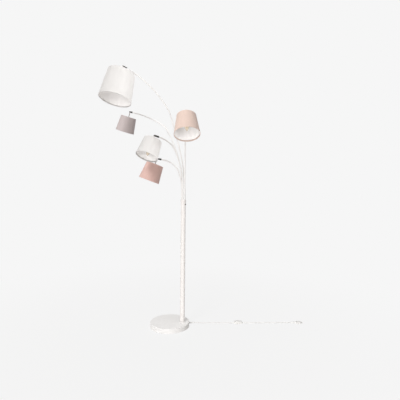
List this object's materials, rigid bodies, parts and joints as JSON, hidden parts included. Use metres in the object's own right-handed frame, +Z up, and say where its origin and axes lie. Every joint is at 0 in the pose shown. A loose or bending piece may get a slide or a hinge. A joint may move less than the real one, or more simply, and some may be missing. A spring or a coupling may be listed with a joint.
{
  "type": "tree floor lamp",
  "caption": "Floor lamp with a round weighted base, a straight pole and curved arms that fan out of its top, each with a fabric drum shade on a tilting joint.",
  "frame": {"origin": "centre of the base's underside, on the floor", "axes": "+Z up along the pole, -X towards the side that the arms lean to, -Y towards the front"},
  "size_m": [1.5948, 0.8158, 2.0056],
  "materials": {
    "base_paint": "satin white powder coat",
    "pole_paint": "satin white powder coat",
    "arm_paint": "satin white powder coat",
    "stem_paint": "satin grey",
    "joint_black": "matt black moulding",
    "joint_screw": "dark plated steel",
    "lock_screw_black": "blackened socket screw",
    "holder_plastic": "matt white thermoset",
    "wire_paint": "white coated wire",
    "pink_fabric": "woven cotton, dusty pink, over a white liner",
    "white_fabric": "woven cotton, off-white, over a white liner",
    "grey_fabric": "woven cotton, warm grey, over a white liner",
    "beige_fabric": "woven cotton, warm beige, over a white liner",
    "bulb_glass": "clear glass with a warm coat",
    "plate_steel": "zinc-plated sheet",
    "bright_steel": "zinc-plated",
    "weight_iron": "rough casting",
    "pad_felt": "dark felt",
    "terminal_plastic": "pale moulding",
    "cord_white": "white PVC sheath",
    "switch_plastic": "white moulding",
    "pin_nickel": "nickel-plated brass"
  },
  "bodies": {
    "stand": {"base_pad": "pad_felt", "base_plate": "plate_steel", "plate_screws": "bright_steel", "base_weight": "weight_iron", "pole_spacer": "plate_steel", "terminal_block": "terminal_plastic", "base_cover": "base_paint", "pole_bolt": "bright_steel", "pole_foot_plug": "plate_steel", "pole_lower": "pole_paint", "pole_upper": "pole_paint", "hub_lock_screw": "lock_screw_black", "arm_hub": "pole_paint", "strain_relief": "cord_white", "cord_to_switch": "cord_white", "cord_to_plug": "cord_white", "switch_body": "switch_plastic", "plug_body": "switch_plastic", "plug_pins": "pin_nickel"},
    "switch_key": {"switch_button": "switch_plastic"},
    "pink_branch": {"pink_arm": "arm_paint", "pink_sleeve": "joint_black", "pink_tilt_screw": "joint_screw"},
    "pink_head": {"pink_stem": "stem_paint", "pink_holder": "holder_plastic", "pink_shade": "pink_fabric", "pink_carrier": "wire_paint", "pink_bulb": "bulb_glass"},
    "white_branch": {"white_arm": "arm_paint", "white_sleeve": "joint_black", "white_tilt_screw": "joint_screw"},
    "white_head": {"white_stem": "stem_paint", "white_holder": "holder_plastic", "white_shade": "white_fabric", "white_carrier": "wire_paint", "white_bulb": "bulb_glass"},
    "grey_branch": {"grey_arm": "arm_paint", "grey_sleeve": "joint_black", "grey_tilt_screw": "joint_screw"},
    "grey_head": {"grey_stem": "stem_paint", "grey_holder": "holder_plastic", "grey_shade": "grey_fabric", "grey_carrier": "wire_paint", "grey_bulb": "bulb_glass"},
    "beige_branch": {"beige_arm": "arm_paint", "beige_sleeve": "joint_black", "beige_tilt_screw": "joint_screw"},
    "beige_head": {"beige_stem": "stem_paint", "beige_holder": "holder_plastic", "beige_shade": "beige_fabric", "beige_carrier": "wire_paint", "beige_bulb": "bulb_glass"},
    "large_branch": {"large_arm": "arm_paint", "large_sleeve": "joint_black", "large_tilt_screw": "joint_screw"},
    "large_head": {"large_stem": "stem_paint", "large_holder": "holder_plastic", "large_shade": "white_fabric", "large_carrier": "wire_paint", "large_bulb": "bulb_glass"}
  },
  "joints": [
    {"name": "pink_swivel", "type": "hinge", "parent": "stand", "child": "pink_branch", "pos_m": [0.0855, -0.012, 0.957], "axis": [0, 0, 1], "range_deg": [-20, 20]},
    {"name": "pink_tilt", "type": "hinge", "parent": "pink_branch", "child": "pink_head", "pos_m": [-0.10741, -0.012, 1.29112], "axis": [-0.0021, -0.9999, -0.0123], "range_deg": [-40, 25]},
    {"name": "white_swivel", "type": "hinge", "parent": "stand", "child": "white_branch", "pos_m": [0.09379, -0.02341, 0.957], "axis": [0, 0, 1], "range_deg": [-18, 35]},
    {"name": "white_tilt", "type": "hinge", "parent": "white_branch", "child": "white_head", "pos_m": [-0.10461, -0.17292, 1.43587], "axis": [0.6101, -0.7881, 0.082], "range_deg": [-40, 25]},
    {"name": "grey_swivel", "type": "hinge", "parent": "stand", "child": "grey_branch", "pos_m": [0.09262, -0.00104, 0.957], "axis": [0, 0, 1], "range_deg": [-40, 15]},
    {"name": "grey_tilt", "type": "hinge", "parent": "grey_branch", "child": "grey_head", "pos_m": [-0.39434, 0.32127, 1.74291], "axis": [-0.5482, -0.8362, 0.0145], "range_deg": [-40, 20]},
    {"name": "beige_swivel", "type": "hinge", "parent": "stand", "child": "beige_branch", "pos_m": [0.10721, -0.01905, 0.957], "axis": [0, 0, 1], "range_deg": [-35, 60]},
    {"name": "beige_tilt", "type": "hinge", "parent": "beige_branch", "child": "beige_head", "pos_m": [0.12287, -0.2274, 1.6013], "axis": [0.996, 0.0844, 0.0293], "range_deg": [-40, 20]},
    {"name": "large_swivel", "type": "hinge", "parent": "stand", "child": "large_branch", "pos_m": [0.10789, -0.006, 0.957], "axis": [0, 0, 1], "range_deg": [-20, 30]},
    {"name": "large_tilt", "type": "hinge", "parent": "large_branch", "child": "large_head", "pos_m": [-0.37289, -0.01859, 1.99809], "axis": [0.1071, -0.985, 0.1354], "range_deg": [-30, 3]},
    {"name": "switch_press", "type": "slide", "parent": "stand", "child": "switch_key", "axis": [0, 0, -1], "range_m": [0, 0.0025], "stiffness_N_per_m": 300, "springref_m": -0.001}
  ]
}
